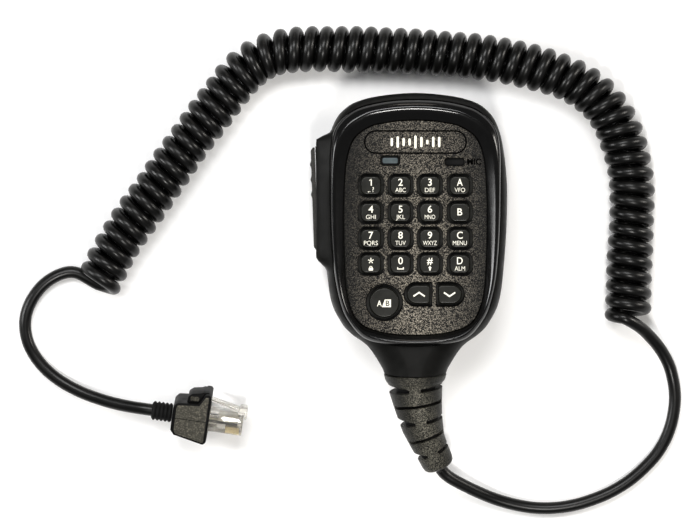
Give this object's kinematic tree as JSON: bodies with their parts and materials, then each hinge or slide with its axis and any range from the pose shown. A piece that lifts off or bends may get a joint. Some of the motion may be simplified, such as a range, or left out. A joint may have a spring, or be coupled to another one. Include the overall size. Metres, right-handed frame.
{
  "type": "hand microphone",
  "caption": "Hand microphone with a keypad, a side push-to-talk bar, a hang-up button, a curly cord and a clear modular plug in a rubber boot.",
  "frame": {"origin": "centre of the hang-up button's outer flat face, on which the microphone lies", "axes": "+Z out of the keypad, +Y to the top of the microphone, +X to its right side as the keypad is read"},
  "size_m": [0.2593, 0.1915, 0.0361],
  "materials": {
    "case": "fine matte black moulding",
    "trim": "polished black",
    "panel": "coarse sparkling spark-eroded grain, dark warm grey",
    "key_plastic": "satin dark grey with off-white printed legends",
    "lens": "clear grey-blue lens",
    "lamp": "clear resin",
    "steel": "zinc plated",
    "button_metal": "satin nickel plated",
    "soft_rubber": "matte black",
    "silicone": "matte grey silicone",
    "domes": "thin steel snap domes under a film",
    "board": "green solder mask",
    "connector": "cream nylon",
    "switch": "matte black",
    "jacket": "glossy black flexible jacket",
    "boot_rubber": "dark grey rubber with a sparkling grain",
    "pad_rubber": "dark grey rubber with a coarse grain",
    "plug_rubber": "grey rubber with a coarse grain on its sides",
    "clear": "clear moulded polycarbonate",
    "gold": "gold plated"
  },
  "bodies": {
    "root": {"front_shell": "case", "rear_shell": "case", "trim_ring": "trim", "face_panel": "panel", "led_lens": "lens", "led": "lamp", "mic_capsule": "steel", "mic_holder": "soft_rubber", "keypad_mat": "silicone", "dome_sheet": "domes", "main_board": "board", "board_connector": "connector", "ptt_switch": "switch", "cable_tail": "jacket", "cable_clamp": "switch", "clamp_screw": "steel", "case_screw_1": "steel", "case_screw_2": "steel", "case_screw_3": "steel", "case_screw_4": "steel", "hang_button": "button_metal", "hang_button_plate": "steel", "hang_button_screw": "steel", "ptt_pin": "steel", "strain_relief": "boot_rubber", "cord_lead_mic": "jacket", "cord_coil": "jacket", "cord_lead_plug": "jacket", "plug_strain_relief": "jacket", "plug_boot": "plug_rubber", "plug_body": "clear", "plug_contacts": "gold"},
    "key_1": {"key_1": "key_plastic"},
    "key_2": {"key_2": "key_plastic"},
    "key_3": {"key_3": "key_plastic"},
    "key_a": {"key_a": "key_plastic"},
    "key_4": {"key_4": "key_plastic"},
    "key_5": {"key_5": "key_plastic"},
    "key_6": {"key_6": "key_plastic"},
    "key_b": {"key_b": "key_plastic"},
    "key_7": {"key_7": "key_plastic"},
    "key_8": {"key_8": "key_plastic"},
    "key_9": {"key_9": "key_plastic"},
    "key_c": {"key_c": "key_plastic"},
    "key_star": {"key_star": "key_plastic"},
    "key_0": {"key_0": "key_plastic"},
    "key_hash": {"key_hash": "key_plastic"},
    "key_d": {"key_d": "key_plastic"},
    "key_ab": {"key_ab": "key_plastic"},
    "key_up": {"key_up": "key_plastic"},
    "key_down": {"key_down": "key_plastic"},
    "ptt_bar": {"ptt_button": "case", "ptt_pad": "pad_rubber"},
    "latch": {"plug_latch": "clear"}
  },
  "joints": [
    {"name": "key_1_press", "type": "slide", "parent": "root", "child": "key_1", "axis": [0, 0, -1], "range_m": [0, 0.0008], "stiffness_N_per_m": 300, "springref_m": -0.001},
    {"name": "key_2_press", "type": "slide", "parent": "root", "child": "key_2", "axis": [0, 0, -1], "range_m": [0, 0.0008], "stiffness_N_per_m": 300, "springref_m": -0.001},
    {"name": "key_3_press", "type": "slide", "parent": "root", "child": "key_3", "axis": [0, 0, -1], "range_m": [0, 0.0008], "stiffness_N_per_m": 300, "springref_m": -0.001},
    {"name": "key_a_press", "type": "slide", "parent": "root", "child": "key_a", "axis": [0, 0, -1], "range_m": [0, 0.0008], "stiffness_N_per_m": 300, "springref_m": -0.001},
    {"name": "key_4_press", "type": "slide", "parent": "root", "child": "key_4", "axis": [0, 0, -1], "range_m": [0, 0.0008], "stiffness_N_per_m": 300, "springref_m": -0.001},
    {"name": "key_5_press", "type": "slide", "parent": "root", "child": "key_5", "axis": [0, 0, -1], "range_m": [0, 0.0008], "stiffness_N_per_m": 300, "springref_m": -0.001},
    {"name": "key_6_press", "type": "slide", "parent": "root", "child": "key_6", "axis": [0, 0, -1], "range_m": [0, 0.0008], "stiffness_N_per_m": 300, "springref_m": -0.001},
    {"name": "key_b_press", "type": "slide", "parent": "root", "child": "key_b", "axis": [0, 0, -1], "range_m": [0, 0.0008], "stiffness_N_per_m": 300, "springref_m": -0.001},
    {"name": "key_7_press", "type": "slide", "parent": "root", "child": "key_7", "axis": [0, 0, -1], "range_m": [0, 0.0008], "stiffness_N_per_m": 300, "springref_m": -0.001},
    {"name": "key_8_press", "type": "slide", "parent": "root", "child": "key_8", "axis": [0, 0, -1], "range_m": [0, 0.0008], "stiffness_N_per_m": 300, "springref_m": -0.001},
    {"name": "key_9_press", "type": "slide", "parent": "root", "child": "key_9", "axis": [0, 0, -1], "range_m": [0, 0.0008], "stiffness_N_per_m": 300, "springref_m": -0.001},
    {"name": "key_c_press", "type": "slide", "parent": "root", "child": "key_c", "axis": [0, 0, -1], "range_m": [0, 0.0008], "stiffness_N_per_m": 300, "springref_m": -0.001},
    {"name": "key_star_press", "type": "slide", "parent": "root", "child": "key_star", "axis": [0, 0, -1], "range_m": [0, 0.0008], "stiffness_N_per_m": 300, "springref_m": -0.001},
    {"name": "key_0_press", "type": "slide", "parent": "root", "child": "key_0", "axis": [0, 0, -1], "range_m": [0, 0.0008], "stiffness_N_per_m": 300, "springref_m": -0.001},
    {"name": "key_hash_press", "type": "slide", "parent": "root", "child": "key_hash", "axis": [0, 0, -1], "range_m": [0, 0.0008], "stiffness_N_per_m": 300, "springref_m": -0.001},
    {"name": "key_d_press", "type": "slide", "parent": "root", "child": "key_d", "axis": [0, 0, -1], "range_m": [0, 0.0008], "stiffness_N_per_m": 300, "springref_m": -0.001},
    {"name": "key_ab_press", "type": "slide", "parent": "root", "child": "key_ab", "axis": [0, 0, -1], "range_m": [0, 0.0008], "stiffness_N_per_m": 300, "springref_m": -0.001},
    {"name": "key_up_press", "type": "slide", "parent": "root", "child": "key_up", "axis": [0, 0, -1], "range_m": [0, 0.0008], "stiffness_N_per_m": 300, "springref_m": -0.001},
    {"name": "key_down_press", "type": "slide", "parent": "root", "child": "key_down", "axis": [0, 0, -1], "range_m": [0, 0.0008], "stiffness_N_per_m": 300, "springref_m": -0.001},
    {"name": "ptt_hinge", "type": "hinge", "parent": "root", "child": "ptt_bar", "pos_m": [-0.033, -0.0225, 0.02], "axis": [0, 0, -1], "range_deg": [0, 3], "stiffness_Nm_per_rad": 0.6, "springref_deg": -3.44},
    {"name": "latch_flex", "type": "hinge", "parent": "root", "child": "latch", "pos_m": [-0.06625, -0.08972, 0.01083], "axis": [-0.0365, -0.2562, 0.9659], "range_deg": [0, 7], "stiffness_Nm_per_rad": 0.4, "springref_deg": -2.86}
  ]
}
